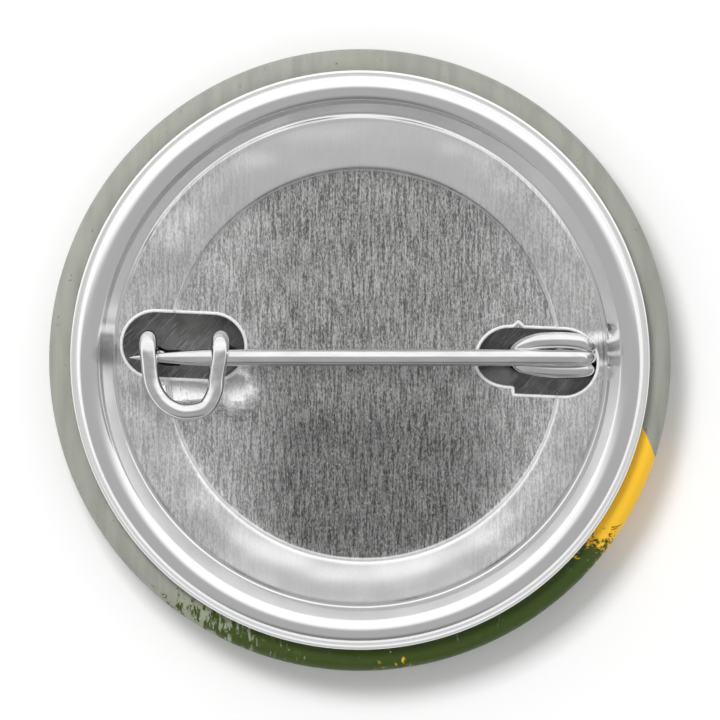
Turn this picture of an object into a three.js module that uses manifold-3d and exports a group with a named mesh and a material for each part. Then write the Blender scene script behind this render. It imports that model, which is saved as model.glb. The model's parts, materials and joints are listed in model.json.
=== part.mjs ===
// Round button badge with a spring-wire pin on its back.
// Millimetres, +Z up. The badge lies on its printed face, so the back plate and the pin are on top.
// The origin is the centre of the face's lowest point, and the pin runs along X.
import * as THREE from 'three';
import { mergeVertices } from 'three/addons/utils/BufferGeometryUtils.js';
import Module from 'manifold-3d';

const wasm = await Module();
wasm.setup();

const DEG = Math.PI / 180;

// Overall size
const BADGE_R = 16.0;              // widest radius of the badge
const FACET_R = 5.0;               // flat middle of the domed face, which the badge rests on
const DOME_END_R = 14.6;           // where the dome turns into the rounded edge
const DOME_RISE = 1.05;            // height gained across the dome
const CURL_R = 0.95;               // radius of the edge's inward curl, over the film

// Layers of the face: depth of each skin below the film's outer surface
const FILM = { outer: 0.0, inner: 0.08, endAngle: 126 };
const PRINT = { outer: 0.10, inner: 0.22, endAngle: 122 };
const SHELL = { outer: 0.24, inner: 0.50, endAngle: 116 };

// Back plate
const SHEET = 0.25;                // sheet thickness
const DISC_R = 10.0;               // recessed centre disc
const DISC_Z = 3.20;               // top of the centre disc
const UNDER_PIN_R = 2.0;           // middle of the disc, which the pin passes over
const STEP = 0.25;                 // height of the step round the disc
const RING_R = 12.05;              // outer radius of the sloping ring round the disc
const RING_RISE = 0.25;            // height the ring gains towards the lip
const CREST_R = 13.86;             // crest of the rolled lip
const CREST_Z = 4.98;
const LIP_R = 14.65;               // outside of the rolled lip
const SKIRT_R = 14.32;             // skirt that goes down inside the curled edge
const CATCH_SLOT = { x: -9.01, y: 0.73, length: 6.27, width: 3.35 };
const HINGE_SLOT = { x: 9.11, y: -0.09, length: 6.33, width: 3.40 };
const SLOT_TURN = -2.5;            // both slots lean by this many degrees

// Wire
const WIRE_R = 0.425;              // radius of the spring wire
const PIN_Y = 0.12;                // line of the pin
const PIN_Z = 4.735;
const COIL_X = 9.8;                // the pin leaves the coil here, at its top
const COIL_HALF_X = 1.94;          // half width and half height of the coil's turns
const COIL_HALF_Z = 1.75;
const COIL_Z = PIN_Z - COIL_HALF_Z;
const TAPER_X = -7.9;              // the pin's point starts here
const TIP_X = -11.76;              // and ends here
const TIP_R = 0.04;
const HOOK_Y = 1.10;               // risers of the catch
const HOOK_LEFT_X = -10.79;
const HOOK_RIGHT_X = -7.12;
const HOOK_LEG_Z = 5.68;           // the catch's legs, just over the pin
const HOOK_END_Z = 5.85;           // the closed end of the catch
const BACK_ARM_Z = 2.35;           // the wire behind the plate, near the catch

const LATHE_SEGMENTS = 40;
const WIRE_HALF_SIDES = 5;         // facets on half of the wire's section

// Small helpers

function material(color, roughness, metalness, opacity = 1) {
  return new THREE.MeshStandardMaterial({ color, roughness, metalness, opacity, transparent: opacity < 1 });
}

function piece(name, geometry, look) {
  const mesh = new THREE.Mesh(geometry, look);
  mesh.name = name;
  return mesh;
}

// Points on an arc about a centre, angles in degrees from +r towards +z.
function arc(centreR, centreZ, radius, from, to, steps) {
  return Array.from({ length: steps + 1 }, (_, i) => {
    const angle = (from + (to - from) * i / steps) * DEG;
    return new THREE.Vector2(centreR + radius * Math.cos(angle), centreZ + radius * Math.sin(angle));
  });
}

// Turns a (radius, height) outline about the Z axis.
function turned(outline) {
  return new THREE.LatheGeometry(outline, LATHE_SEGMENTS).rotateX(Math.PI / 2);
}

function toManifold(geometry) {
  const bare = geometry.clone();
  bare.deleteAttribute('normal');
  bare.deleteAttribute('uv');
  const merged = mergeVertices(bare, 1e-5);
  return new wasm.Manifold(new wasm.Mesh({
    numProp: 3,
    vertProperties: new Float32Array(merged.attributes.position.array),
    triVerts: new Uint32Array(merged.index.array),
  }));
}

function fromManifold(solid) {
  const mesh = solid.getMesh();
  const geometry = new THREE.BufferGeometry();
  geometry.setAttribute('position', new THREE.BufferAttribute(new Float32Array(mesh.vertProperties), 3));
  geometry.setIndex(new THREE.BufferAttribute(new Uint32Array(mesh.triVerts), 1));
  geometry.computeVertexNormals();
  return geometry;
}

// Face: film, print and shell share one curve, each at its own depth

const DOME_RADIUS = ((DOME_END_R - FACET_R) ** 2 + DOME_RISE ** 2) / (2 * DOME_RISE);
const DOME_SLOPE = Math.asin((DOME_END_R - FACET_R) / DOME_RADIUS) / DEG;
const SHOULDER_R = (BADGE_R - DOME_END_R) / (1 - Math.sin(DOME_SLOPE * DEG));
const SHOULDER_Z = DOME_RISE + SHOULDER_R * Math.cos(DOME_SLOPE * DEG);

function faceCurve(depth, endAngle) {
  const dome = arc(FACET_R, DOME_RADIUS, DOME_RADIUS - depth, -90, -90 + DOME_SLOPE, 3);
  const shoulder = arc(BADGE_R - SHOULDER_R, SHOULDER_Z, SHOULDER_R - depth, -90 + DOME_SLOPE, 0, 4);
  const curl = arc(BADGE_R - CURL_R, SHOULDER_Z, CURL_R - depth, 0, endAngle, 5);
  return [new THREE.Vector2(0, depth), ...dome, ...shoulder.slice(1), ...curl.slice(1)];
}

function faceLayer(layer) {
  const outer = faceCurve(layer.outer, layer.endAngle);
  const inner = faceCurve(layer.inner, layer.endAngle);
  return turned([...outer, ...inner.reverse()]);
}

function makeClearFilm() {
  return piece('clear_film', faceLayer(FILM), material(0xe8e8e0, 0.08, 0.0, 0.3));
}

function makePrintedArtwork() {
  return piece('printed_artwork', faceLayer(PRINT), material(0xa5a79e, 0.6, 0.0));
}

function makeFrontShell() {
  return piece('front_shell', faceLayer(SHELL), material(0xa8a8a6, 0.35, 0.9));
}

// Back plate: recessed disc, sloping ring, rolled lip and the skirt that the curled edge holds

function plateOutline() {
  const points = [];
  const add = (r, z) => points.push(new THREE.Vector2(r, z));
  const ringZ = DISC_Z + STEP;
  const ringEndZ = ringZ + RING_RISE;
  // top, from the axis out
  add(0, DISC_Z);
  add(UNDER_PIN_R, DISC_Z);
  add(DISC_R - 0.08, DISC_Z);
  add(DISC_R + 0.08, ringZ);
  add(RING_R, ringEndZ);
  add(12.50, ringEndZ + 0.14);
  add(12.76, ringEndZ + 0.38);
  add(13.10, CREST_Z - 0.48);
  add(13.45, CREST_Z - 0.15);
  add(CREST_R, CREST_Z);
  add(14.22, CREST_Z - 0.10);
  add(14.50, CREST_Z - 0.38);
  add(LIP_R, CREST_Z - 0.73);
  // underside of the lip, then down the skirt to its flared edge
  add(LIP_R - 0.05, CREST_Z - 1.03);
  add(SKIRT_R + 0.08, CREST_Z - 1.18);
  add(SKIRT_R, CREST_Z - 1.43);
  add(SKIRT_R - 0.02, 3.05);
  add(SKIRT_R + 0.16, 2.78);
  add(SKIRT_R + 0.46, 2.68);
  add(SKIRT_R + 0.42, 2.46);
  add(SKIRT_R + 0.04, 2.54);
  add(SKIRT_R - 0.24, 2.85);
  // inside the skirt and the lip
  add(SKIRT_R - 0.26, 3.60);
  add(SKIRT_R - 0.20, 3.95);
  add(14.32, CREST_Z - 0.74);
  add(14.22, CREST_Z - 0.48);
  add(13.92, CREST_Z - 0.26);
  add(13.58, CREST_Z - 0.36);
  add(13.28, CREST_Z - 0.66);
  add(12.98, ringEndZ + 0.24);
  add(12.72, ringEndZ - 0.02);
  // underside of the ring and the disc
  add(RING_R + 0.06, ringEndZ - SHEET);
  add(DISC_R + 0.22, ringZ - SHEET + 0.01);
  add(DISC_R + 0.06, DISC_Z - SHEET);
  add(0, DISC_Z - SHEET);
  return points.reverse();
}

// A vertical stadium-shaped cutter for one slot.
function slotCutter({ x, y, length, width }) {
  const half = length / 2 - width / 2;
  const shape = new THREE.Shape();
  shape.absarc(half, 0, width / 2, -Math.PI / 2, Math.PI / 2, false);
  shape.absarc(-half, 0, width / 2, Math.PI / 2, Math.PI * 1.5, false);
  const cutter = new THREE.ExtrudeGeometry(shape, { depth: 3, bevelEnabled: false, curveSegments: 8 });
  return toManifold(cutter.rotateZ(SLOT_TURN * DEG).translate(x, y, DISC_Z - 1));
}

function makeBackPlate() {
  const plate = toManifold(turned(plateOutline()));
  const cut = plate.subtract(slotCutter(CATCH_SLOT)).subtract(slotCutter(HINGE_SLOT));
  return piece('back_plate', fromManifold(cut), material(0xb9bab8, 0.28, 1.0));
}

// Spring wire: catch, back arm and coil in one piece

function wireSection() {
  const shape = new THREE.Shape();
  shape.absarc(0, 0, WIRE_R, 0, 2 * Math.PI, false);
  return shape;
}

function wireAlong(points, stepLength) {
  const path = new THREE.CatmullRomCurve3(points, false, 'centripetal');
  const steps = Math.round(path.getLength() / stepLength);
  return new THREE.ExtrudeGeometry(wireSection(), {
    steps, extrudePath: path, curveSegments: WIRE_HALF_SIDES, bevelEnabled: false,
  });
}

// The catch: a tail under the plate, up through the slot, a U over the pin and down again.
function catchPoints() {
  const bend = 0.45;
  return [
    [HOOK_LEFT_X - 1.55, HOOK_Y, BACK_ARM_Z],
    [HOOK_LEFT_X - 0.50, HOOK_Y, BACK_ARM_Z],
    [HOOK_LEFT_X - 0.12, HOOK_Y, BACK_ARM_Z + 0.15],
    [HOOK_LEFT_X, HOOK_Y, BACK_ARM_Z + 0.60],
    [HOOK_LEFT_X, HOOK_Y, HOOK_LEG_Z - bend],
    [HOOK_LEFT_X, HOOK_Y - 0.14, HOOK_LEG_Z - 0.13],
    [HOOK_LEFT_X + 0.03, HOOK_Y - bend, HOOK_LEG_Z],
    [HOOK_LEFT_X + 0.25, -1.30, HOOK_LEG_Z + 0.06],
    [HOOK_LEFT_X + 0.86, -2.22, HOOK_END_Z - 0.04],
    [HOOK_LEFT_X + 1.63, -2.63, HOOK_END_Z],
    [HOOK_RIGHT_X - 1.53, -2.66, HOOK_END_Z],
    [HOOK_RIGHT_X - 0.77, -2.44, HOOK_END_Z - 0.03],
    [HOOK_RIGHT_X - 0.27, -1.62, HOOK_LEG_Z + 0.08],
    [HOOK_RIGHT_X - 0.18, -0.79, HOOK_LEG_Z + 0.02],
    [HOOK_RIGHT_X - 0.02, HOOK_Y - bend, HOOK_LEG_Z],
    [HOOK_RIGHT_X, HOOK_Y - 0.14, HOOK_LEG_Z - 0.13],
    [HOOK_RIGHT_X, HOOK_Y, HOOK_LEG_Z - bend],
    [HOOK_RIGHT_X, HOOK_Y, BACK_ARM_Z + 0.60],
    [HOOK_RIGHT_X + 0.12, HOOK_Y, BACK_ARM_Z + 0.15],
    [HOOK_RIGHT_X + 0.55, HOOK_Y, BACK_ARM_Z],
  ];
}

// Value at an angle between keyed angles, eased so that the wire turns smoothly.
function keyed(keys, angle) {
  const last = keys.length - 2;
  const i = Math.max(0, Math.min(last, keys.findIndex(([at]) => at > angle) - 1));
  const [from, to] = [keys[i], keys[i + 1]];
  const t = THREE.MathUtils.smoothstep(angle, from[0], to[0]);
  return from[1] + (to[1] - from[1]) * t;
}

// The coil's two turns stand on either side of the pin. Angle 90 is the top of a turn.
const COIL_Y = [[-90, 1.15], [0, 0.50], [90, 1.03], [180, 0.55], [270, 0.12], [360, -0.42], [450, -0.62],
  [540, -0.42]];
const COIL_CENTRE_X = [[-90, COIL_X - 0.15], [225, COIL_X - 0.15], [315, COIL_X], [540, COIL_X]];
const COIL_WIDTH = [[-90, COIL_HALF_X - 0.19], [225, COIL_HALF_X - 0.19], [315, COIL_HALF_X],
  [540, COIL_HALF_X]];
const LOW_TURN_HALF_Z = 1.20;      // the second turn passes a little lower than the pin
const COIL_START = -90;
const COIL_END = 530;
const COIL_STEP = 15;

function coilPoint(angle) {
  const isLowTop = angle > 360;
  const halfZ = isLowTop ? LOW_TURN_HALF_Z : COIL_HALF_Z;
  return [
    keyed(COIL_CENTRE_X, angle) + keyed(COIL_WIDTH, angle) * Math.cos(angle * DEG),
    keyed(COIL_Y, angle),
    COIL_Z + halfZ * Math.sin(angle * DEG),
  ];
}

function coilPoints() {
  const points = [];
  for (let angle = COIL_START; angle <= COIL_END; angle += COIL_STEP) points.push(coilPoint(angle));
  return points;
}

// The strand that carries on from the pin, over the coil's top and down its far side.
function pinStrandPoints() {
  const points = [];
  for (let angle = 74; angle >= -26; angle -= 10) {
    points.push([
      COIL_X + COIL_HALF_X * Math.cos(angle * DEG),
      PIN_Y,
      COIL_Z + COIL_HALF_Z * Math.sin(angle * DEG),
    ]);
  }
  return points;
}

function makeSpringWire() {
  const armStart = [-1.0, HOOK_Y + 0.02, 1.75];
  const armEnd = [COIL_X - 2.6, 1.15, COIL_Z - COIL_HALF_Z + 0.02];
  const route = [...catchPoints(), armStart, armEnd, ...coilPoints()];
  const toVectors = (list) => list.map((p) => new THREE.Vector3(...p));
  const main = toManifold(wireAlong(toVectors(route), 0.42));
  const strand = toManifold(wireAlong(toVectors(pinStrandPoints()), 0.42));
  return piece('spring_wire', fromManifold(main.add(strand)), material(0xb0b0ae, 0.25, 1.0));
}

// Pin: a straight wire with a sharp point, round where it leaves the coil

function makePinArm() {
  const taperAt = COIL_X - TAPER_X;
  const tipAt = COIL_X - TIP_X;
  const outline = [
    ...arc(0, 0, WIRE_R, -90, 0, 4),
    new THREE.Vector2(WIRE_R, taperAt),
    new THREE.Vector2(WIRE_R * 0.86, taperAt + 1.0),
    new THREE.Vector2(WIRE_R * 0.52, taperAt + 2.4),
    new THREE.Vector2(TIP_R, tipAt - 0.03),
    new THREE.Vector2(0, tipAt),
  ];
  outline[0].x = 0;
  const mesh = piece('pin_arm', new THREE.LatheGeometry(outline, 16), material(0xb6b6b4, 0.22, 1.0));
  mesh.rotation.z = Math.PI / 2;
  mesh.position.set(COIL_X, PIN_Y, PIN_Z);
  return mesh;
}

const badge = new THREE.Group();
badge.add(
  makeClearFilm(),
  makePrintedArtwork(),
  makeFrontShell(),
  makeBackPlate(),
  makeSpringWire(),
  makePinArm(),
);

export default badge;
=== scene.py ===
"""Looks of a round button badge: wrapped printed face, stamped back plate and spring-wire pin.

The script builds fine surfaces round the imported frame, in metres, in the frame's own axes. The badge lies
on its face, so +Z points out of its back and the pin runs along X.
"""

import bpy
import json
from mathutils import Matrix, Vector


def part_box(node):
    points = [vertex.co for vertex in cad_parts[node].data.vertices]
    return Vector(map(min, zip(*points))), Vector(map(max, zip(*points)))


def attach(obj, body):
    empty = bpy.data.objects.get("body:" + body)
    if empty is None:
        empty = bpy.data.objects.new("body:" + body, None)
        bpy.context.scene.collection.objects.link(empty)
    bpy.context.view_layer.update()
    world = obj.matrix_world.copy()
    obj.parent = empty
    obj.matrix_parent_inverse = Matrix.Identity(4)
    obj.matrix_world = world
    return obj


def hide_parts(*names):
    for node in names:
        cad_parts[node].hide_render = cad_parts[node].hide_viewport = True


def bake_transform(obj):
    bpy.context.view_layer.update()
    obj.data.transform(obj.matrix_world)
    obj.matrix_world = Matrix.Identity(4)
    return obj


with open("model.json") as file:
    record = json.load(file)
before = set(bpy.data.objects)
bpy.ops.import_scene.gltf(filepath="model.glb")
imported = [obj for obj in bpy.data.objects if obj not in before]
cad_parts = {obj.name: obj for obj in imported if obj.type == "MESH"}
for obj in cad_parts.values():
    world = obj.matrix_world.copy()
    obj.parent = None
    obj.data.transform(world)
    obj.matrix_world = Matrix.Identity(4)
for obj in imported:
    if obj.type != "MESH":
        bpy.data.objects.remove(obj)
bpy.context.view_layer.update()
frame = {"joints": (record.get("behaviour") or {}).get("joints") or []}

import json
import logging
import math
from dataclasses import dataclass, field
from enum import Enum

import bpy
import numpy as np
from mathutils import Vector

log = logging.getLogger("badge")
MM = 0.001
NOWHERE = -99.0


class Body(Enum):
    """The frame's rigid bodies."""

    BADGE = "badge"
    PIN = "pin"


# ---------------------------------------------------------------------------------------------------------
# Surfaces
# ---------------------------------------------------------------------------------------------------------


def arc(centre: tuple[float, float], radius: float, start: float, end: float, count: int) -> np.ndarray:
    """Points on an arc: centre plus radius times (cos, sin) of an angle that runs evenly from start to end.

    Args:
        centre: The arc's centre, as (radius, height).
        radius: The arc's radius.
        start: First angle in degrees, counted from +r towards +z.
        end: Last angle in degrees.
        count: Number of points.

    Returns:
        Array of (count, 2) points.
    """
    angle = np.radians(np.linspace(start, end, count))
    return np.array(centre) + radius * np.stack([np.cos(angle), np.sin(angle)], axis=1)


def curve_through(points: list, spacing: float) -> np.ndarray:
    """Even points along a smooth curve through a few given ones.

    Between neighbours the curve is a cubic whose end slopes are the differences of the points on either
    side, over the square root of their distance. It is then cut into steps of equal length.

    Args:
        points: The points that the curve goes through, in order.
        spacing: Length of one step.

    Returns:
        Array of points, as many columns as the given ones.
    """
    given = np.asarray(points, float)
    stops = np.concatenate([[0.0], np.cumsum(np.sqrt(np.linalg.norm(np.diff(given, axis=0), axis=1)))])
    slope = np.gradient(given, stops, axis=0)
    at = np.linspace(0.0, stops[-1], 60 * len(given))
    i = np.clip(np.searchsorted(stops, at, side="right") - 1, 0, len(stops) - 2)
    width = (stops[i + 1] - stops[i])[:, None]
    t = ((at - stops[i])[:, None]) / width
    dense = (
        (2 * t**3 - 3 * t**2 + 1) * given[i]
        + (t**3 - 2 * t**2 + t) * width * slope[i]
        + (3 * t**2 - 2 * t**3) * given[i + 1]
        + (t**3 - t**2) * width * slope[i + 1]
    )
    run = np.concatenate([[0.0], np.cumsum(np.linalg.norm(np.diff(dense, axis=0), axis=1))])
    even = np.linspace(0.0, run[-1], max(2, int(round(run[-1] / spacing)) + 1))
    return np.stack([np.interp(even, run, dense[:, k]) for k in range(dense.shape[1])], axis=1)


def make_piece(name: str, points: np.ndarray, faces: list) -> bpy.types.Object:
    """Makes a smooth-shaded object from points in millimetres.

    Args:
        name: The piece's name.
        points: Array of (n, 3) points, in millimetres.
        faces: Face arrays, each of shape (m, 3) or (m, 4), holding point numbers.

    Returns:
        The new object, at the origin.
    """
    mesh = bpy.data.meshes.new(name)
    mesh.from_pydata((points * MM).tolist(), [], [face for group in faces for face in group.tolist()])
    mesh.validate()
    mesh.shade_smooth()
    piece = bpy.data.objects.new(name, mesh)
    bpy.context.scene.collection.objects.link(piece)
    return piece


def grid_faces(rows: int, columns: int) -> np.ndarray:
    """Quads of a grid whose rows close on themselves: point j joins j + 1, wrapped, and row i joins i + 1.

    Args:
        rows: Number of rows of points.
        columns: Number of points in each row.

    Returns:
        Array of ((rows - 1) * columns, 4) point numbers.
    """
    i, j = np.meshgrid(np.arange(rows - 1), np.arange(columns), indexing="ij")
    k = (j + 1) % columns
    here, above = i * columns, (i + 1) * columns
    return np.stack([here + j, here + k, above + k, above + j], axis=-1).reshape(-1, 4)


def capped_faces(rows: int, columns: int) -> list[np.ndarray]:
    """Faces of such a grid with a fan of triangles at each end.

    The middle of the first fan is the point after the grid's last one, and the middle of the other follows.

    Args:
        rows: Number of rows of points.
        columns: Number of points in each row.

    Returns:
        The first fan, the quads and the last fan, as arrays of point numbers.
    """
    count = rows * columns
    last = count - columns
    j = np.arange(columns)
    k = (j + 1) % columns
    low = np.stack([np.full(columns, count), k, j], axis=1)
    high = np.stack([last + j, last + k, np.full(columns, count + 1)], axis=1)
    return [low, grid_faces(rows, columns), high]


def revolve(
    name: str, outline: np.ndarray, segments: int, shift: np.ndarray | None = None
) -> bpy.types.Object:
    """Turns an outline about the Z axis.

    A point at (r, z) becomes (r cos a, r sin a, z) for even angles a. Points on the axis become one pole
    each, closed by a fan of triangles. The outline runs out along the bottom and back along the top.

    Args:
        name: The piece's name.
        outline: Array of (n, 2) points (r, z) in millimetres, whose first and last lie on the axis.
        segments: Number of steps round the axis.
        shift: Optional (n, 2) sideways move of each outline point, in millimetres.

    Returns:
        The new object.
    """
    move = np.zeros_like(outline) if shift is None else shift
    angle = np.linspace(0.0, 2 * np.pi, segments, endpoint=False)
    inner, inner_move = outline[1:-1], move[1:-1]
    x = inner[:, :1] * np.cos(angle) + inner_move[:, :1]
    y = inner[:, :1] * np.sin(angle) + inner_move[:, 1:]
    z = np.repeat(inner[:, 1:], segments, axis=1)
    rings = np.stack([x, y, z], axis=-1).reshape(-1, 3)
    poles = np.array([[move[0, 0], move[0, 1], outline[0, 1]], [move[-1, 0], move[-1, 1], outline[-1, 1]]])
    return make_piece(name, np.concatenate([rings, poles]), capped_faces(len(inner), segments))


def carried_frames(path: np.ndarray) -> tuple[np.ndarray, np.ndarray]:
    """Two unit vectors across a path at each station, carried along it with the least turning.

    Args:
        path: Array of (n, 3) stations.

    Returns:
        Two arrays of (n, 3) vectors, square to the path and to each other.
    """
    along = np.gradient(path, axis=0)
    along /= np.linalg.norm(along, axis=1, keepdims=True)
    side = np.zeros_like(path)
    start = np.eye(3)[np.argmin(np.abs(along[0]))]
    for i in range(len(path)):
        start = start - start.dot(along[i]) * along[i]
        start = start / np.linalg.norm(start)
        side[i] = start
    return side, np.cross(along, side)


def tube(
    name: str, path: np.ndarray, radius: np.ndarray, sides: int, closed: bool = False
) -> bpy.types.Object:
    """Carries a circle along a path.

    A point is the station plus the radius there times (cos a) side + (sin a) other side. Open ends are
    closed by a fan of triangles. On a closed path, which runs round the Z axis, side is always +Z.

    Args:
        name: The piece's name.
        path: Array of (n, 3) stations in millimetres.
        radius: Array of n radii in millimetres.
        sides: Number of steps round the circle.
        closed: True if the path joins its own start.

    Returns:
        The new object.
    """
    if closed:
        side = np.zeros_like(path) + [0, 0, 1]
        other = np.cross(np.roll(path, -1, 0) - np.roll(path, 1, 0), [0, 0, 1])
        other = -other / np.linalg.norm(other, axis=1, keepdims=True)
    else:
        side, other = carried_frames(path)
    angle = np.linspace(0.0, 2 * np.pi, sides, endpoint=False)
    ring = side[:, None] * np.cos(angle)[None, :, None] + other[:, None] * np.sin(angle)[None, :, None]
    points = (path[:, None] + radius[:, None, None] * ring).reshape(-1, 3)
    rows = len(path)
    if closed:
        return make_piece(name, points, [grid_faces(rows + 1, sides) % (rows * sides)])
    return make_piece(name, np.concatenate([points, path[:1], path[-1:]]), capped_faces(rows, sides))


# ---------------------------------------------------------------------------------------------------------
# Finishes
# ---------------------------------------------------------------------------------------------------------


def linear(red: int, green: int, blue: int) -> tuple[float, float, float, float]:
    """Turns screen values from 0 to 255 into the shader's linear colour with full alpha."""
    srgb = np.array([red, green, blue]) / 255
    value = np.where(srgb <= 0.04045, srgb / 12.92, ((srgb + 0.055) / 1.055) ** 2.4)
    return (float(value[0]), float(value[1]), float(value[2]), 1.0)


class Nodes:
    """A node tree, built from left to right."""

    def __init__(self, tree: bpy.types.NodeTree) -> None:
        """Works on the given tree."""
        self.tree = tree

    def put(self, socket: bpy.types.NodeSocket, value: object) -> None:
        """Feeds an input from another socket, or sets it to a plain value."""
        if isinstance(value, bpy.types.NodeSocket):
            self.tree.links.new(value, socket)
        else:
            socket.default_value = value

    def node(
        self, kind: str, inputs: dict, output: int | str = 0, **settings: object
    ) -> bpy.types.NodeSocket:
        """Adds a node.

        Args:
            kind: The node's type.
            inputs: Values or sockets by input name or number.
            output: The output wanted.
            **settings: The node's own settings.

        Returns:
            The output socket.
        """
        made = self.tree.nodes.new(kind)
        for key, value in settings.items():
            setattr(made, key, value)
        for key, value in inputs.items():
            self.put(made.inputs[key], value)
        return made.outputs[output]

    def vector(self, operation: str, a: object, b: object = (0.0, 0.0, 0.0)) -> bpy.types.NodeSocket:
        """Works on one or two vectors.

        Args:
            operation: ADD, MULTIPLY, SCALE or LENGTH.
            a: The first vector.
            b: The second vector; for SCALE the number to scale by, and for LENGTH not used.

        Returns:
            A vector, or for LENGTH a number.
        """
        inputs = {0: a, "Scale": b} if operation == "SCALE" else {0: a, 1: b}
        output = "Value" if operation == "LENGTH" else 0
        return self.node("ShaderNodeVectorMath", inputs, output, operation=operation)

    def math(self, operation: str, a: object, b: object = 0.0, c: object = 0.0) -> bpy.types.NodeSocket:
        """One operation on up to three numbers or sockets; MULTIPLY_ADD gives a times b, plus c."""
        return self.node("ShaderNodeMath", {0: a, 1: b, 2: c}, operation=operation)

    def spread(
        self, value: object, low: float, high: float, to_low: float = 0.0, to_high: float = 1.0
    ) -> bpy.types.NodeSocket:
        """Eases a value from one range to another and holds it at the ends.

        Args:
            value: The socket to read.
            low: Where the range starts.
            high: Where it ends.
            to_low: Result at the start.
            to_high: Result at the end.

        Returns:
            The eased value.
        """
        inputs = {"Value": value, "From Min": low, "From Max": high, "To Min": to_low, "To Max": to_high}
        return self.node("ShaderNodeMapRange", inputs, interpolation_type="SMOOTHSTEP")


class Graph(Nodes):
    """A material's nodes."""

    def __init__(self, name: str) -> None:
        """Starts a material with one shader and a millimetre position."""
        self.material = bpy.data.materials.new(name)
        self.material.use_nodes = True
        super().__init__(self.material.node_tree)
        self.shader = next(n for n in self.tree.nodes if n.type == "BSDF_PRINCIPLED")
        place = self.node("ShaderNodeTexCoord", {}, "Object")
        self.place = self.vector("SCALE", place, 1 / MM)

    def noise(
        self, scale: tuple, detail: float = 3.0, shift: float = 0.0, rough: float = 0.55
    ) -> bpy.types.NodeSocket:
        """Noise whose grains are 1 / scale millimetres along each axis.

        Args:
            scale: Grains per millimetre along X, Y and Z.
            detail: How many finer layers are added.
            shift: Moves the pattern so that two noises differ.
            rough: Strength of the finer layers.

        Returns:
            A value from 0 to 1, mostly near 0.5.
        """
        stretched = self.vector("MULTIPLY", self.place, scale)
        moved = self.vector("ADD", stretched, (shift, shift * 0.7, shift * 0.3))
        inputs = {"Vector": moved, "Scale": 1.0, "Detail": detail, "Roughness": rough}
        return self.node("ShaderNodeTexNoise", inputs)

    def mix(self, share: object, a: object, b: object) -> bpy.types.NodeSocket:
        """Colour a where share is 0 and b where it is 1."""
        made = self.tree.nodes.new("ShaderNodeMix")
        made.data_type = "RGBA"
        for socket, value in zip([s for s in made.inputs if s.enabled], (share, a, b)):
            self.put(socket, value)
        return next(s for s in made.outputs if s.enabled)

    def across(self, axis: str) -> bpy.types.NodeSocket:
        """The millimetre position along one axis, X, Y or Z."""
        return self.node("ShaderNodeSeparateXYZ", {0: self.place}, axis)

    def distance(self, x: float, y: float) -> bpy.types.NodeSocket:
        """Distance in millimetres from an upright line through (x, y)."""
        flat = self.vector("MULTIPLY", self.vector("ADD", self.place, (-x, -y, 0.0)), (1.0, 1.0, 0.0))
        return self.vector("LENGTH", flat)

    def patch(
        self, x: float, y: float, half_x: float, half_y: float, soft: float = 0.5, ragged: float = 0.7
    ) -> bpy.types.NodeSocket:
        """An oval area with a soft or ragged edge.

        Args:
            x: Its middle along X, in millimetres.
            y: Its middle along Y.
            half_x: Half its length along X.
            half_y: Half its length along Y.
            soft: How wide the edge is, as a share of the half lengths.
            ragged: How far the edge wanders, as a share of the half lengths.

        Returns:
            1 inside, easing to 0 outside.
        """
        moved = self.vector("ADD", self.place, (-x, -y, 0.0))
        away = self.vector("LENGTH", self.vector("MULTIPLY", moved, (1 / half_x, 1 / half_y, 0.0)))
        wander = self.math("MULTIPLY_ADD", self.noise((2.5, 2.5, 2.5), 4.0, 41.0, 0.65), ragged, -ragged / 2)
        return self.spread(self.math("ADD", away, wander), 1.0 - soft / 2, 1.0 + soft / 2, 1.0, 0.0)

    def bump(self, height: object, depth: float) -> None:
        """Raises or dents the surface.

        Args:
            height: Socket with the height.
            depth: What a height of 1 stands for, in millimetres.
        """
        inputs = {"Height": height, "Strength": 1.0, "Distance": depth * MM}
        self.drive("Normal", self.node("ShaderNodeBump", inputs))

    def drive(self, name: str, value: object) -> None:
        """Sets one of the shader's inputs to a value or a socket."""
        self.put(self.shader.inputs[name], value)


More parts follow.
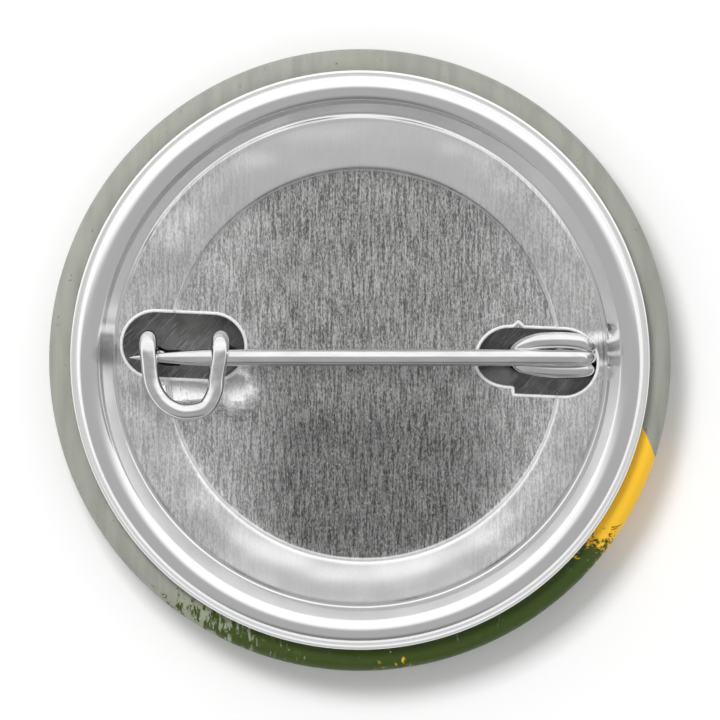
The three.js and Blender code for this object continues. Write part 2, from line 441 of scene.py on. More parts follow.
@dataclass(frozen=True)
class PrintFinish:
    """Printed paper: warm grey with faint streaks, a yellow disc and a ragged dark green ground."""

    grey: tuple = (157, 159, 150)
    grey_dark: tuple = (145, 147, 138)
    yellow: tuple = (255, 200, 40)
    green: tuple = (54, 74, 4)
    speck: tuple = (112, 112, 104)
    worn_green: tuple = (150, 154, 134)
    fleck: tuple = (240, 190, 40)
    sun_place: tuple = (7.7, -7.2)
    sun_radius: float = 7.7
    ground_height: float = -10.84
    ground_slope: float = 0.133
    roughness: float = 0.5
    shine: float = 0.08
    coat: float = 0.12

    def make(self) -> bpy.types.Material:
        """Returns the material."""
        g = Graph("printed_paper")
        streaks = g.spread(g.noise((1.6, 0.22, 0.3), 4.0), 0.35, 0.7)
        sky = g.mix(streaks, linear(*self.grey), linear(*self.grey_dark))
        specks = g.spread(g.noise((4.5, 4.5, 4.5), 2.0, 5.0), 0.70, 0.74)
        sky = g.mix(specks, sky, linear(*self.speck))
        sun = g.spread(g.distance(*self.sun_place), self.sun_radius - 0.02, self.sun_radius + 0.02, 1.0, 0.0)
        art = g.mix(sun, sky, linear(*self.yellow))
        line = g.math("MULTIPLY_ADD", g.across("X"), self.ground_slope, self.ground_height)
        ragged = g.spread(g.noise((1.7, 2.6, 1.0), 6.0, 11.0, 0.8), 0.25, 0.75, -1.0, 1.0)
        edge = g.math("ADD", g.math("SUBTRACT", line, g.across("Y")), ragged)
        ground = g.spread(edge, -0.03, 0.03)
        smears = g.noise((3.4, 1.1, 0.8), 6.0, 23.0, 0.8)
        left = g.spread(g.across("X"), -9.5, -1.2, 0.46, 0.64)
        worn = g.spread(g.math("SUBTRACT", smears, left), 0.0, 0.015)
        far = g.spread(g.math("ABSOLUTE", g.math("SUBTRACT", g.across("X"), 1.6)), 0.6, 2.0, 0.585, 0.80)
        flecks = g.math("SUBTRACT", g.noise((3.4, 2.2, 2.8), 5.0, 31.0, 0.7), far)
        end = g.spread(g.across("X"), 9.0, 13.0, 0.80, 0.56)
        crumbs = g.math("SUBTRACT", g.noise((2.6, 2.6, 2.6), 5.0, 37.0, 0.7), end)
        green = g.mix(worn, linear(*self.green), linear(*self.worn_green))
        yellow = g.spread(g.math("MAXIMUM", flecks, crumbs), 0.0, 0.015)
        green = g.mix(yellow, green, linear(*self.fleck))
        g.drive("Base Color", g.mix(ground, art, green))
        g.drive("Roughness", self.roughness)
        g.drive("Specular IOR Level", self.shine)
        g.drive("Coat Weight", self.coat)
        g.drive("Coat Roughness", 0.1)
        g.bump(g.noise((0.5, 0.5, 0.5), 2.0, 3.0), 0.02)
        return g.material


@dataclass(frozen=True)
class FilmFinish:
    """Clear polyester film: almost no body of its own, and a bright gloss."""

    body: float = 0.01
    roughness: float = 0.05
    refraction: float = 1.55

    def make(self) -> bpy.types.Material:
        """Returns the material."""
        g = Graph("clear_film")
        haze = g.spread(g.noise((0.7, 0.7, 0.7), 3.0, 2.0), 0.3, 0.7)
        g.drive("Base Color", g.mix(haze, (0.86, 0.87, 0.85, 1), (0.95, 0.95, 0.94, 1)))
        g.drive("Alpha", self.body)
        g.drive("Roughness", self.roughness)
        g.drive("IOR", self.refraction)
        g.bump(g.noise((0.4, 0.4, 0.4), 2.0, 7.0), 0.015)
        return g.material


@dataclass(frozen=True)
class GlarePatch:
    """A patch of painted highlight on the plate: an oval that whitens the colour where reflections and
    sparkle fall, with a bump that tilts it towards +Y. Given are where and how large it is, as in
    Graph.patch, how much it counts, and how far it tilts towards +Y.
    """

    x: float
    y: float
    half_x: float
    half_y: float
    soft: float
    ragged: float
    strength: float
    slant: float


@dataclass(frozen=True)
class PlateFinish:
    """Tinplate with a straight rolled grain: dull on the recessed disc, satin round it, bright on the lip.
    Much of its colour is painted light: the disc's lighter top and sides, its glints and part of its
    darkness, patches of painted highlight, a highlight line along the disc step, a partly painted sheen on
    the bead, and grey patches of painted shade on the lip.
    """

    disc_place: tuple = (0.18, -0.22)
    disc_radius: float = 10.0
    lip_radius: float = 12.6
    bead_radius: float = 14.42
    relief: float = 0.05
    ring_easing: float = 1.6
    wall_easing: float = 1.9
    # Patches of painted highlight: in and beside the catch's U, beside the coil, and on the ring at the upper
    # left and upper right.
    glare_patches: tuple = (
        GlarePatch(-8.9, -1.5, 1.5, 0.75, 0.5, 0.5, 1.0, 7.0),
        GlarePatch(-6.35, -1.4, 0.95, 1.3, 1.0, 1.0, 1.0, 7.0),
        GlarePatch(12.2, 1.2, 0.7, 0.42, 1.6, 0.5, 0.8, 3.5),
        GlarePatch(12.25, -0.15, 0.5, 0.3, 1.4, 0.5, 0.8, 3.5),
        GlarePatch(-8.8, 6.6, 2.2, 2.4, 1.9, 0.0, 0.6, 1.2),
        GlarePatch(8.7, 7.3, 1.7, 1.9, 1.9, 0.0, 0.6, 1.2),
    )

    def painted_glare(self, g: Graph) -> tuple[bpy.types.NodeSocket, bpy.types.NodeSocket]:
        """Adds up the patches of painted highlight.

        Args:
            g: The material's nodes.

        Returns:
            How bright the painted highlight is, from 0 to 1, and its bump height, which falls towards +Y.
        """
        glare, dent = 0.0, 0.0
        for spot in self.glare_patches:
            area = g.patch(spot.x, spot.y, spot.half_x, spot.half_y, spot.soft, spot.ragged)
            area = g.math("MULTIPLY", area, spot.strength)
            glare = g.math("MAXIMUM", glare, g.math("MULTIPLY", area, min(1.0, spot.slant / 5.0)))
            lean = g.math("MULTIPLY_ADD", g.across("Y"), -spot.slant, spot.slant * spot.y)
            dent = g.math("MULTIPLY_ADD", area, lean, dent)
        return glare, dent

    def beyond(self, g: Graph, distance: object, start: float, width: float) -> bpy.types.NodeSocket:
        """How far a distance goes past start, up to width, in millimetres."""
        return g.math("MINIMUM", g.math("MAXIMUM", g.math("SUBTRACT", distance, start), 0.0), width)

    def make(self) -> bpy.types.Material:
        """Returns the material."""
        g = Graph("rolled_tinplate")
        x = g.math("ABSOLUTE", g.across("X"))
        out = g.distance(*self.disc_place)
        in_disc = g.spread(out, self.disc_radius - 0.14, self.disc_radius - 0.06, 1.0, 0.0)
        on_lip = g.spread(g.distance(0.0, 0.0), self.lip_radius - 0.3, self.lip_radius)
        long_lines = g.noise((8.0, 0.7, 0.5), 3.0, 1.0, 0.65)
        short_lines = g.noise((13.0, 4.5, 2.0), 4.0, 9.0, 0.85)
        grain = g.math("MULTIPLY_ADD", long_lines, 0.40, g.math("MULTIPLY", short_lines, 0.60))
        dark = g.spread(grain, 0.40, 0.61)
        # Painted light on the disc: it is lighter towards +Y and towards both sides, with painted white
        # glints. Its darker colours are partly its dull finish and partly painted shade for the dark it
        # reflects from overhead.
        glints = g.spread(g.noise((9.0, 5.5, 3.0), 3.0, 51.0, 0.7), 0.60, 0.68, 0.0, 0.6)
        upper = g.spread(g.across("Y"), -4.4, 0.6)
        disc = g.mix(upper, g.mix(dark, linear(84, 84, 83), linear(184, 184, 183)),
                     g.mix(dark, linear(112, 112, 111), linear(226, 226, 225)))
        left, right = g.math("MULTIPLY", g.across("X"), -1.0), g.math("MULTIPLY", g.across("X"), 0.72)
        sides = g.spread(g.math("MAXIMUM", left, right), 2.8, 7.5)
        disc = g.mix(sides, disc, g.mix(dark, linear(156, 156, 155), linear(253, 253, 253)))
        disc = g.mix(glints, disc, linear(250, 250, 250))
        worn = g.mix(g.spread(grain, 0.42, 0.58), linear(200, 200, 199), linear(254, 254, 254))
        satin = g.mix(g.spread(x, 4.5, 9.5, 0.1, 1.0), linear(252, 252, 252), worn)
        flat = g.mix(in_disc, satin, disc)
        glare, dent = self.painted_glare(g)
        # Painted highlight: inside the patches the colour whitens along the grain.
        glare_grain = g.math("MULTIPLY", glare, g.spread(grain, 0.35, 0.52, 0.5, 1.0))
        flat = g.mix(glare_grain, flat, linear(252, 252, 252))
        colour = g.mix(on_lip, flat, linear(244, 244, 244))
        shade = g.math("MAXIMUM", g.patch(12.6, 0.42, 0.7, 0.45, 0.9), g.patch(-12.7, 0.3, 0.75, 0.5, 1.1))
        colour = g.mix(g.math("MULTIPLY", shade, 0.45), colour, linear(120, 120, 120))
        # Painted highlight: a near-white, less metallic line along the disc step, fading out towards the top.
        # On the bead, the same pale band is partly wear and partly painted sheen.
        step = g.math("MULTIPLY", g.spread(out, self.disc_radius - 0.07, self.disc_radius - 0.02),
                      g.spread(out, self.disc_radius + 0.10, self.disc_radius + 0.16, 1.0, 0.0))
        step = g.math("MULTIPLY", step, g.spread(g.across("Y"), 2.5, 6.0, 1.0, 0.0))
        bead = g.spread(g.distance(0.0, 0.0), self.bead_radius - 0.04, self.bead_radius + 0.02)
        sheen_and_wear = g.math("MAXIMUM", g.math("MULTIPLY", step, 0.8), g.math("MULTIPLY", bead, 0.45))
        g.drive("Base Color", g.mix(sheen_and_wear, colour, linear(254, 254, 254)))
        g.drive("Metallic", g.math("MULTIPLY_ADD", sheen_and_wear, -0.6, 1.0))
        uneven = g.spread(g.noise((0.35, 0.2, 0.3), 3.0, 4.0), 0.35, 0.65, 0.28, 0.38)
        dull = g.math("MULTIPLY_ADD", in_disc, 0.06, uneven)
        dull = g.math("MULTIPLY", dull, g.spread(glare, 0.0, 1.0, 1.0, 0.55))
        g.drive("Roughness", g.math("MULTIPLY", dull, g.spread(on_lip, 0.0, 1.0, 1.0, 0.45)))
        depth = g.spread(in_disc, 0.0, 1.0, 0.15, 0.8)
        depth = g.math("MULTIPLY", depth, g.spread(glare, 0.0, 1.0, 1.0, 0.3))
        lines = g.math("MULTIPLY", g.math("MULTIPLY", grain, depth), g.spread(on_lip, 0.0, 1.0, 1.0, 0.1))
        sway = g.spread(in_disc, 0.0, 1.0, 4.5, 3.0)
        sway = g.math("MULTIPLY", sway, g.spread(on_lip, 0.0, 1.0, 1.0, 0.05))
        waves = g.math("MULTIPLY", g.noise((0.30, 0.34, 0.3), 1.0, 14.0), sway)
        ring = self.beyond(g, out, self.disc_radius + 0.2, 2.2)
        wall = self.beyond(g, out, self.lip_radius, 0.7)
        easing = g.math("MULTIPLY_ADD", ring, -self.ring_easing, g.math("MULTIPLY", wall, -self.wall_easing))
        g.bump(g.math("ADD", g.math("ADD", lines, waves), g.math("ADD", dent, easing)), self.relief)
        return g.material


@dataclass(frozen=True)
class EdgeFinish:
    """The burr that the press leaves round a slot, made pale and only partly metallic so that it shows as a
    painted highlight line all round.
    """

    metallic: float = 0.35
    roughness: float = 0.42

    def make(self) -> bpy.types.Material:
        """Returns the material."""
        g = Graph("sheared_edge")
        marks = g.spread(g.noise((5.0, 5.0, 5.0), 3.0, 21.0), 0.3, 0.7)
        g.drive("Base Color", g.mix(marks, linear(238, 238, 238), linear(254, 254, 254)))
        g.drive("Metallic", self.metallic)
        g.drive("Roughness", self.roughness)
        g.bump(marks, 0.008)
        return g.material


@dataclass(frozen=True)
class WireFinish:
    """Bright plated spring wire with faint drawing marks."""

    smoothest: float = 0.05
    roughest: float = 0.09

    def make(self) -> bpy.types.Material:
        """Returns the material."""
        g = Graph("plated_wire")
        marks = g.spread(g.noise((0.5, 3.0, 3.0), 3.0, 6.0), 0.3, 0.7)
        g.drive("Base Color", g.mix(marks, linear(226, 226, 226), linear(240, 240, 240)))
        g.drive("Metallic", 1.0)
        smears = g.noise((0.8, 0.8, 0.8), 3.0, 8.0)
        g.drive("Roughness", g.spread(smears, 0.3, 0.7, self.smoothest, self.roughest))
        g.bump(g.noise((0.6, 1.2, 1.2), 2.0, 12.0), 0.008)
        return g.material


@dataclass(frozen=True)
class ShellFinish:
    """Plain tinplate inside the badge, scratched by the press along one slanted direction."""

    scratch_turn: float = 0.75
    roughness: float = 0.55

    def make(self) -> bpy.types.Material:
        """Returns the material."""
        g = Graph("plain_tinplate")
        lit = g.math("MULTIPLY", g.patch(6.9, -0.9, 0.95, 0.6), 0.75)
        turned = {0: g.place, "Angle": self.scratch_turn}
        g.place = g.node("ShaderNodeVectorRotate", turned, rotation_type="Z_AXIS")
        scratches = g.spread(g.noise((7.0, 0.6, 1.0), 5.0, 17.0, 0.8), 0.50, 0.66)
        tone = g.spread(g.noise((0.9, 0.9, 0.9), 4.0, 27.0), 0.35, 0.65)
        plain = g.mix(tone, linear(160, 160, 159), linear(196, 196, 195))
        plain = g.mix(lit, plain, linear(236, 236, 235))
        g.drive("Base Color", g.mix(scratches, plain, linear(254, 254, 254)))
        g.drive("Metallic", 1.0)
        g.drive("Roughness", self.roughness)
        g.bump(scratches, 0.006)
        return g.material


@dataclass(frozen=True)
class FloorFinish:
    """Plain white studio floor."""

    def make(self) -> bpy.types.Material:
        """Returns the material."""
        g = Graph("studio_floor")
        tone = g.spread(g.noise((0.02, 0.02, 0.02), 2.0), 0.3, 0.7)
        g.drive("Base Color", g.mix(tone, (0.93, 0.93, 0.93, 1), (0.95, 0.95, 0.95, 1)))
        g.drive("Roughness", 0.9)
        g.drive("Specular IOR Level", 0.1)
        return g.material


def dress(piece: bpy.types.Object, material: bpy.types.Material) -> None:
    """Gives a piece its material."""
    piece.data.materials.clear()
    piece.data.materials.append(material)


# ---------------------------------------------------------------------------------------------------------
# The badge
# ---------------------------------------------------------------------------------------------------------


@dataclass
class Face:
    """The domed face: clear film, printed paper and metal shell, all on one curve at their own depths."""

    radius: float = field(default_factory=lambda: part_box("clear_film")[1].x / MM)
    facet_radius: float = 5.0
    dome_end: float = 14.6
    dome_rise: float = 1.05
    curl_radius: float = 0.95
    film: tuple = (0.0, 0.08, 126)
    paper: tuple = (0.10, 0.22, 122)
    shell: tuple = (0.24, 0.50, 116)
    segments: int = 288

    def curve(self, depth: float, end_angle: float) -> np.ndarray:
        """The face's curve at one depth: flat middle, shallow dome arc, shoulder arc and inward curl.

        Args:
            depth: Millimetres below the film's outer surface.
            end_angle: Where the curl ends, in degrees past the widest point.

        Returns:
            Array of (n, 2) points (r, z), from the axis out.
        """
        span = self.dome_end - self.facet_radius
        dome_radius = (span**2 + self.dome_rise**2) / (2 * self.dome_rise)
        slope = math.degrees(math.asin(span / dome_radius))
        shoulder = (self.radius - self.dome_end) / (1 - math.sin(math.radians(slope)))
        height = self.dome_rise + shoulder * math.cos(math.radians(slope))
        flat = np.stack([np.linspace(0, self.facet_radius, 8)[:-1], np.full(7, depth)], axis=1)
        dome = arc((self.facet_radius, dome_radius), dome_radius - depth, -90, slope - 90, 20)
        side = arc((self.radius - shoulder, height), shoulder - depth, slope - 90, 0, 20)
        curl = arc((self.radius - self.curl_radius, height), self.curl_radius - depth, 0, end_angle, 22)
        return np.concatenate([flat, dome, side[1:], curl[1:]])

    def layer(self, name: str, depths: tuple) -> bpy.types.Object:
        """One closed skin between two depths.

        Args:
            name: The piece's name.
            depths: Outer depth, inner depth and the curl's end angle.

        Returns:
            The new object.
        """
        outer, inner, end_angle = depths
        outline = np.concatenate([self.curve(outer, end_angle), self.curve(inner, end_angle)[::-1]])
        return revolve(name, outline, self.segments)

    def build(self) -> list[bpy.types.Object]:
        """Returns the film, the print and the shell, dressed and riding on the badge."""
        made = []
        for name, depths, finish in (
            ("clear_film", self.film, FilmFinish()),
            ("printed_artwork", self.paper, PrintFinish()),
            ("front_shell", self.shell, ShellFinish()),
        ):
            piece = self.layer(f"{name}_fine", depths)
            dress(piece, finish.make())
            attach(piece, Body.BADGE.value)
            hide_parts(name)
            made.append(piece)
        return made


@dataclass
class Slot:
    """A round-ended slot in the back plate."""

    x: float
    y: float
    length: float
    width: float
    turn: float = -2.5
    step_x: float = NOWHERE
    step: float = 0.0
    nick_x: float = NOWHERE

    def outline(self, count: int, grow: float = 0.0) -> np.ndarray:
        """Even points round the slot: two half circles joined by straight sides, turned and moved.

        Left of step_x the lower half is squeezed, so that its edge lies nearer the middle by the step.

        Args:
            count: Number of points on each half circle.
            grow: How far the outline is moved out, in millimetres.

        Returns:
            Array of (n, 2) points, counter-clockwise.
        """
        radius = self.width / 2 + grow
        half = (self.length - self.width) / 2
        right = arc((half, 0.0), radius, -90, 90, count)
        left = arc((-half, 0.0), radius, 90, 270, count)
        straight = np.linspace(0, 1, 3 * count)[1:-1, None]
        top = right[-1] + (left[0] - right[-1]) * straight
        bottom = left[-1] + (right[0] - left[-1]) * straight
        flat = np.concatenate([right, top, left, bottom])
        turn = math.radians(self.turn)
        spin = np.array([[math.cos(turn), math.sin(turn)], [-math.sin(turn), math.cos(turn)]])
        flat = flat @ spin + [self.x, self.y]
        squeeze = 1 - self.step / radius * (flat[:, 0] < self.step_x) * (flat[:, 1] < self.y)
        flat[:, 1] = self.y + (flat[:, 1] - self.y) * squeeze
        return flat


@dataclass
class BackPlate:
    """The stamped back plate: recessed disc, sloping ring, rolled lip, skirt and two slots."""

    disc_radius: float = 10.0
    disc_height: float = 3.20
    step: float = 0.33
    ring_radius: float = 12.05
    corner_radius: float = 12.55
    corner_bend: float = 0.15
    wall_angle: float = 49.0
    crest_drop: float = 0.08
    crest_bend: float = 0.80
    roll_bend: float = 0.65
    bead: float = 0.13
    crest_radius: float = 13.86
    crest_height: float = field(default_factory=lambda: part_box("back_plate")[1].z / MM)
    lip_radius: float = field(default_factory=lambda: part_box("back_plate")[1].x / MM)
    skirt_radius: float = 14.32
    sheet: float = 0.25
    disc_shift: tuple = (0.18, -0.22)
    shift_end: float = 12.4
    catch_slot: Slot = field(default_factory=lambda: Slot(-9.01, 0.73, 6.27, 3.35))
    hinge_slot: Slot = field(
        default_factory=lambda: Slot(9.03, -0.09, 6.17, 3.40, step_x=7.83, step=0.40, nick_x=8.1)
    )
    burr_radius: float = 0.09
    burr_offset: float = 0.05
    nick_half: float = 0.28
    nick_height: float = 0.26
    segments: int = 360

    def top(self) -> np.ndarray:
        """The seen side's curve, (r, z) from the axis out to the rim."""
        start = self.disc_height + self.step
        end = self.ring_end()
        crest = self.crest_height - self.crest_drop
        disc, low, lean = self.disc_radius, self.disc_height, self.wall_angle
        flat = np.stack([np.linspace(0, disc - 0.12, 24), np.full(24, low)], axis=1)
        wall = curve_through(
            [(disc - 0.09, low + 0.01), (disc - 0.03, low + 0.06),
             (disc + 0.08, start - 0.05), (disc + 0.15, start)], 0.02)
        ring = curve_through(
            [(disc + 0.3, start + 0.03), (11.2, start + 0.62 * (end - start)),
             (12.1, end - 0.05), (12.45, end - 0.01)], 0.12)
        corner = arc((self.corner_radius, end + self.corner_bend), self.corner_bend, -90, lean - 90, 7)
        inside = arc((self.crest_radius, crest - self.crest_bend), self.crest_bend, lean + 90, 90, 16)
        outside = arc((self.crest_radius, crest - self.roll_bend), self.roll_bend, 90, 34, 12)
        bead = arc((self.lip_radius - self.bead, crest - 0.50), self.bead, 150, -60, 14)
        return np.concatenate([flat, wall, ring, corner, inside, outside[1:], bead])

    def ring_end(self) -> float:
        """Height of the sloping ring's outer end, where the lip's straight wall meets both of its bends."""
        lean = math.radians(self.wall_angle)
        bends = self.corner_bend + self.crest_bend
        climb = bends * (1 - 1 / math.cos(lean)) + math.tan(lean) * (self.crest_radius - self.corner_radius)
        return self.crest_height - self.crest_drop - climb

    def under(self) -> np.ndarray:
        """The hidden side's curve, (r, z) from the rim down the skirt, round its flare and to the axis."""
        ring = self.disc_height + self.step
        end = self.ring_end()
        crest = self.crest_height - self.crest_drop
        skirt = self.skirt_radius
        down = curve_through(
            [(skirt + 0.14, crest - 0.98), (skirt + 0.03, crest - 1.2), (skirt - 0.02, 3.3), (skirt, 2.95),
             (skirt + 0.16, 2.78), (skirt + 0.42, 2.68)], 0.12)
        back = curve_through(
            [(skirt + 0.42, 2.50), (skirt + 0.04, 2.54), (skirt - 0.24, 2.85), (skirt - 0.26, 3.6),
             (skirt - 0.14, crest - 0.8), (14.16, crest - 0.45), (13.9, crest - 0.27), (13.6, crest - 0.36),
             (13.28, crest - 0.70), (12.98, end + 0.2), (12.72, end - 0.04),
             (self.ring_radius, end - self.sheet)], 0.12)
        disc, low = self.disc_radius, self.disc_height - self.sheet
        home = np.array([[disc + 0.22, ring - self.sheet], [disc + 0.06, low], [0.0, low]])
        return np.concatenate([down, back, home])

    def shifts(self, outline: np.ndarray) -> np.ndarray:
        """Sideways move of each outline point: the whole shift on the disc, easing to none at shift_end."""
        share = np.clip((self.shift_end - outline[:, 0]) / (self.shift_end - self.disc_radius - 0.15), 0, 1)
        return (share * share * (3 - 2 * share))[:, None] * np.array(self.disc_shift)

    def height_at(self, radius: np.ndarray) -> np.ndarray:
        """Height of the seen side at each distance from the axis."""
        curve = self.top()
        return np.interp(radius, curve[:, 0], curve[:, 1])

    def cutter(self, slot: Slot) -> bpy.types.Object:
        """An upright prism through the plate with the slot's outline."""
        flat = slot.outline(20)
        count = len(flat)
        low = np.column_stack([flat, np.full(count, self.disc_height - 1.0)])
        high = np.column_stack([flat, np.full(count, self.crest_height - 0.2)])
        middle = flat.mean(axis=0)
        caps = np.array([[*middle, low[0, 2]], [*middle, high[0, 2]]])
        return make_piece("slot_cutter", np.concatenate([low, high, caps]), capped_faces(2, count))

    def cut(self, plate: bpy.types.Object) -> None:
        """Cuts both slots out of the plate."""
        for slot in (self.catch_slot, self.hinge_slot):
            cutter = self.cutter(slot)
            modifier = plate.modifiers.new("slot", "BOOLEAN")
            modifier.operation = "DIFFERENCE"
            modifier.solver = "EXACT"
            modifier.object = cutter
            depsgraph = bpy.context.evaluated_depsgraph_get()
            cut = bpy.data.meshes.new_from_object(plate.evaluated_get(depsgraph))
            plate.modifiers.clear()
            plate.data = cut
            bpy.data.objects.remove(cutter)
        plate.data.set_sharp_from_angle(angle=math.radians(35))

    def slot_edge(self, name: str, slot: Slot) -> bpy.types.Object:
        """The raised burr round a slot: a thin round bead that follows the plate's height.

        At nick_x the bead bulges away from the slot in a small triangle.

        Args:
            name: The piece's name.
            slot: The slot that it runs round.

        Returns:
            The new object.
        """
        flat = slot.outline(28, self.burr_offset)
        bulge = np.clip(1 - np.abs(flat[:, 0] - slot.nick_x) / self.nick_half, 0, 1)
        flat[:, 1] += self.nick_height * (bulge * (flat[:, 1] > slot.y))
        height = self.height_at(np.linalg.norm(flat - np.array(self.disc_shift), axis=1))
        path = np.column_stack([flat, height])
        return tube(name, path, np.full(len(path), self.burr_radius), 10, closed=True)

    def build(self) -> list[bpy.types.Object]:
        """Returns the plate and its slot edges, dressed and riding on the badge."""
        outline = np.concatenate([self.top(), self.under()])[::-1]
        plate = revolve("back_plate_fine", outline, self.segments, self.shifts(outline))
        self.cut(plate)
        material = PlateFinish(disc_place=self.disc_shift, disc_radius=self.disc_radius).make()
        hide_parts("back_plate")
        made = [
            plate,
            self.slot_edge("catch_slot_edge", self.catch_slot),
            self.slot_edge("hinge_slot_edge", self.hinge_slot),
        ]
        burr = EdgeFinish().make()
        for piece in made:
            dress(piece, material if piece == plate else burr)
            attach(piece, Body.BADGE.value)
        return made


@dataclass
class SpringWire:
    """The wire: catch, arm behind the plate and coil in one piece, and the pin that bends at the coil.

    Swell is how much thicker the wire is at the catch's two bends. bend_half is half the length of pin that
    bends when it opens; nothing reads it.
    """

    radius: float = 0.425
    swell: float = 0.10
    swell_reach: float = 0.7
    catch_left: float = -10.79
    catch_right: float = -7.12
    bend_half: float = 0.9
    pin_line: float = 0.12
    pin_height: float = field(default_factory=lambda: frame["joints"][0]["pos_m"][2] / MM)
    pivot_x: float = field(default_factory=lambda: frame["joints"][0]["pos_m"][0] / MM)
    tip_x: float = field(default_factory=lambda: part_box("pin_arm")[0].x / MM)
    taper_x: float = -7.9
    taper_power: float = 0.62
    point_radius: float = 0.012
    spacing: float = 0.08
    sides: int = 24

    def catch_route(self) -> list:
        """Points of the catch: tail under the pin, riser, U over the pin, second riser."""
        left, right, riser, under = self.catch_left, self.catch_right, 1.10, self.pin_line
        low, leg, end = 2.35, 5.68, 5.845
        return [
            (left + 1.6, under, low - 0.3), (left + 0.75, under + 0.03, low - 0.2),
            (left + 0.2, under + 0.38, low + 0.05), (left, riser - 0.12, low + 0.6), (left, riser, low + 1.3),
            (left, riser, leg - 1.0), (left, riser - 0.03, leg - 0.72), (left, riser - 0.13, leg - 0.42),
            (left, riser - 0.33, leg - 0.18), (left, riser - 0.6, leg - 0.05),
            (left + 0.03, riser - 0.9, leg), (left + 0.25, -1.30, leg + 0.06),
            (left + 0.86, -2.22, end - 0.04), (left + 1.63, -2.63, end), (right - 1.53, -2.66, end),
            (right - 0.77, -2.44, end - 0.03),
            (right - 0.27, -1.62, leg + 0.08), (right - 0.18, -0.79, leg + 0.02),
            (right - 0.03, riser - 0.9, leg), (right, riser - 0.6, leg - 0.05),
            (right, riser - 0.33, leg - 0.18), (right, riser - 0.13, leg - 0.42),
            (right, riser - 0.03, leg - 0.72), (right, riser, leg - 1.0), (right, riser, low + 1.3),
            (right, riser - 0.12, low + 0.6), (right + 0.15, under + 0.4, low + 0.05),
            (right + 0.7, under + 0.05, low - 0.2), (right + 1.6, under, low - 0.35),
        ]

    def coil_route(self) -> list:
        """Points of the arm behind the plate and of the coil's two turns, one on each side of the pin."""
        under = self.pin_line
        return [
            (1.0, under, 1.7), (6.8, under, 1.28), (9.2, under + 0.2, 1.24), (10.4, under + 0.36, 1.37),
            (11.1, 0.56, 1.8), (11.5, 0.60, 2.5), (11.66, 0.62, 3.2), (11.64, 0.68, 3.8),
            (11.45, 0.80, 4.28), (11.05, 0.93, 4.58), (10.45, 0.99, 4.71), (9.75, 0.99, 4.72),
            (9.05, 0.93, 4.62), (8.45, 0.73, 4.38), (8.0, 0.46, 3.95), (7.86, 0.26, 3.3), (7.98, 0.22, 2.5),
            (8.6, 0.2, 1.75), (9.4, 0.12, 1.28), (10.2, 0.0, 1.3), (11.0, -0.2, 1.7), (11.54, -0.36, 2.4),
            (11.7, -0.44, 3.1), (11.6, -0.48, 3.65), (11.2, -0.51, 3.95), (10.5, -0.52, 4.09),
            (9.8, -0.50, 4.1), (9.1, -0.43, 4.05), (8.4, -0.30, 3.85), (8.0, -0.14, 3.4),
            (7.95, -0.05, 2.8), (8.2, 0.0, 2.1),
        ]

    def pin_route(self) -> list:
        """Points of the pin: up from the coil's far side, over its top and straight to the tip."""
        y, z = self.pin_line, self.pin_height
        return [
            (10.8, y, 1.8), (11.35, y, 2.3), (11.66, y, 3.0), (11.68, y, 3.6), (11.5, y, 4.15),
            (11.1, y, z - 0.2), (10.5, y, z - 0.03), (self.pivot_x, y, z), (9.0, y, z), (8.0, y, z),
            (0.0, y, z), (self.tip_x, y, z),
        ]

    def pin_radius(self, path: np.ndarray) -> np.ndarray:
        """Radius along the pin: full to the taper, then falling by a power of the share of the taper left."""
        left = np.clip((path[:, 0] - self.tip_x) / (self.taper_x - self.tip_x), 0, 1)
        return np.maximum(self.radius * left**self.taper_power, self.point_radius)

    def build(self) -> list[bpy.types.Object]:
        """Returns the fixed wire, dressed and riding on the badge, and the pin, dressed."""
        material = WireFinish().make()
        path = curve_through(self.catch_route() + self.coil_route(), self.spacing)
        bends = np.array([[self.catch_left, 0.9, 5.5], [self.catch_right, 0.9, 5.5]])
        away = np.linalg.norm(path[:, None] - bends, axis=2).min(axis=1)
        radius = self.radius * (1 + self.swell * np.exp(-((away / self.swell_reach) ** 2)))
        wire = tube("catch_and_coil", path, radius, self.sides)
        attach(wire, Body.BADGE.value)
        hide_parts("spring_wire")
        dress(wire, material)
        path = curve_through(self.pin_route(), self.spacing)
        pin = tube("pin_and_bend", path, self.pin_radius(path), self.sides)
        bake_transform(pin)
        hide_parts("pin_arm")
        dress(pin, material)
        return [wire, pin]


# ---------------------------------------------------------------------------------------------------------
# The studio
# ---------------------------------------------------------------------------------------------------------


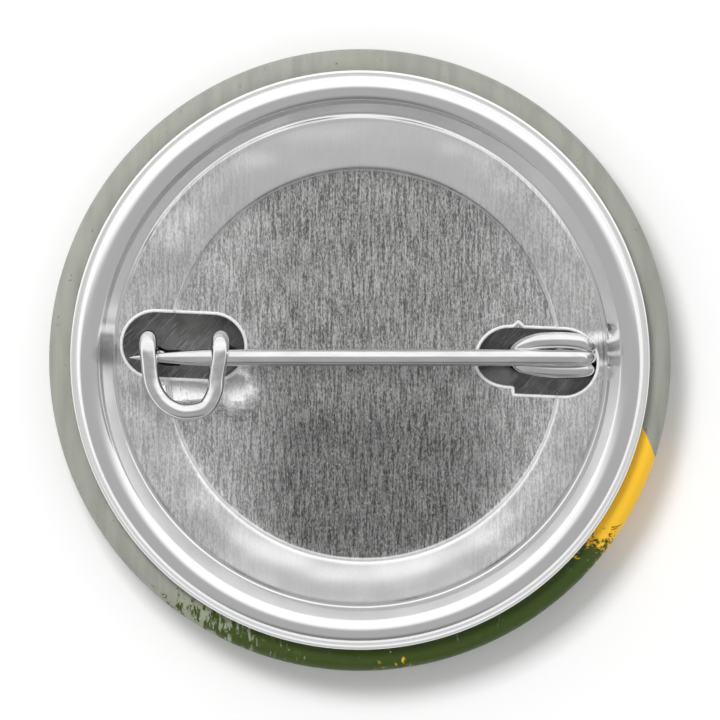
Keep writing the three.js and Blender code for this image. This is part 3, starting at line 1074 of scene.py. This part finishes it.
@dataclass
class Studio:
    """White floor, soft light that is strongest towards +Y, and a camera straight above.

    Dim and bright are the light's two levels, and it is eased from one to the other between grey_until and
    white_from. It drops to far_share of that level at far_y and below, and is whole again from near_y.
    """

    view_width: float = 36.75
    sensor: float = 36.0
    camera_height: float = 600.0
    floor_half: float = 1500.0
    floor_drop: float = 0.02
    key_place: tuple = (-95.0, 150.0, 340.0)
    key_power: float = 0.85
    key_size: float = 120.0
    dim: float = 0.44
    bright: float = 1.12
    grey_until: float = 0.04
    white_from: float = 0.46
    low_share: float = 0.6
    far_share: float = 0.45
    far_y: float = -0.98
    near_y: float = -0.75
    matt_level: float = 0.62

    def floor(self) -> bpy.types.Object:
        """A flat white floor a hair below the badge, its lines denser near it (even steps, cubed)."""
        line = np.linspace(-1, 1, 41)
        x, y = np.meshgrid(self.floor_half * line**3, self.floor_half * line**3)
        points = np.stack([x, y, np.full_like(x, -self.floor_drop)], axis=-1).reshape(-1, 3)
        size = len(line)
        i, j = np.meshgrid(np.arange(size - 1), np.arange(size - 1), indexing="ij")
        first = i * size + j
        quads = np.stack([first, first + 1, first + size + 1, first + size], axis=-1)
        floor = make_piece("studio_floor", points, [quads.reshape(-1, 4)])
        floor.data.materials.append(FloorFinish().make())
        return floor

    def world(self) -> None:
        """A soft room: grey overhead and towards -Y, white towards +Y and low down at both sides.

        The level follows Y plus a share of (1 - Z) to the fifth power, eased from the grey to the white, and
        is darker far towards -Y. Matt surfaces get one even level.
        """
        world = bpy.data.worlds.new("studio")
        bpy.context.scene.world = world
        world.use_nodes = True
        n = Nodes(world.node_tree)
        split = n.node("ShaderNodeSeparateXYZ", {0: n.node("ShaderNodeTexCoord", {}, "Generated")}, "Y").node
        low_down = n.math("POWER", n.math("SUBTRACT", 1.0, n.math("MAXIMUM", split.outputs["Z"], 0.0)), 5.0)
        side = n.math("MULTIPLY_ADD", low_down, self.low_share, split.outputs["Y"])
        seen = n.spread(side, self.grey_until, self.white_from, self.dim, self.bright)
        far = n.spread(split.outputs["Y"], self.far_y, self.near_y, self.far_share, 1.0)
        seen = n.math("MULTIPLY", seen, far)
        matt = n.node("ShaderNodeLightPath", {}, "Is Diffuse Ray")
        change = n.math("MULTIPLY", matt, n.math("SUBTRACT", self.matt_level, seen))
        background = next(node for node in n.tree.nodes if node.type == "BACKGROUND")
        n.tree.links.new(n.math("ADD", seen, change), background.inputs["Strength"])
        background.inputs["Color"].default_value = (1.0, 1.0, 1.0, 1.0)

    def lamp(self, name: str, place: tuple, power: float, size: float) -> bpy.types.Object:
        """A square soft lamp that faces the badge and doesn't show in shiny surfaces.

        Args:
            name: The lamp's name.
            place: Its position in millimetres.
            power: Its power in watts.
            size: Its side in millimetres.

        Returns:
            The lamp.
        """
        data = bpy.data.lights.new(name, "AREA")
        data.energy = power
        data.size = size * MM
        lamp = bpy.data.objects.new(name, data)
        lamp.location = Vector(place) * MM
        lamp.rotation_euler = (-lamp.location).to_track_quat("-Z", "Y").to_euler()
        lamp.visible_glossy = False
        bpy.context.scene.collection.objects.link(lamp)
        return lamp

    def camera(self) -> None:
        """A camera straight above, with a long lens that just frames the badge."""
        data = bpy.data.cameras.new("camera")
        data.sensor_width = self.sensor
        data.lens = data.sensor_width * self.camera_height / self.view_width
        data.clip_start = 0.01
        data.clip_end = 10.0
        camera = bpy.data.objects.new("camera", data)
        camera.location = (0.0, 0.0, (self.camera_height + 4.0) * MM)
        bpy.context.scene.collection.objects.link(camera)
        bpy.context.scene.camera = camera

    def build(self) -> None:
        """Sets up floor, light and camera."""
        bpy.context.scene.view_settings.view_transform = "Standard"
        self.floor()
        self.world()
        self.lamp("key", self.key_place, self.key_power, self.key_size)
        self.camera()


def main() -> None:
    """Builds the badge and the studio, in order, and reports each piece."""
    logging.basicConfig(level=logging.INFO, format="%(name)s: %(message)s")
    for part in (Face(), BackPlate(), SpringWire()):
        for piece in part.build():
            log.info("%s: %d faces", piece.name, len(piece.data.polygons))
    Studio().build()


if __name__ == "__main__":
    main()
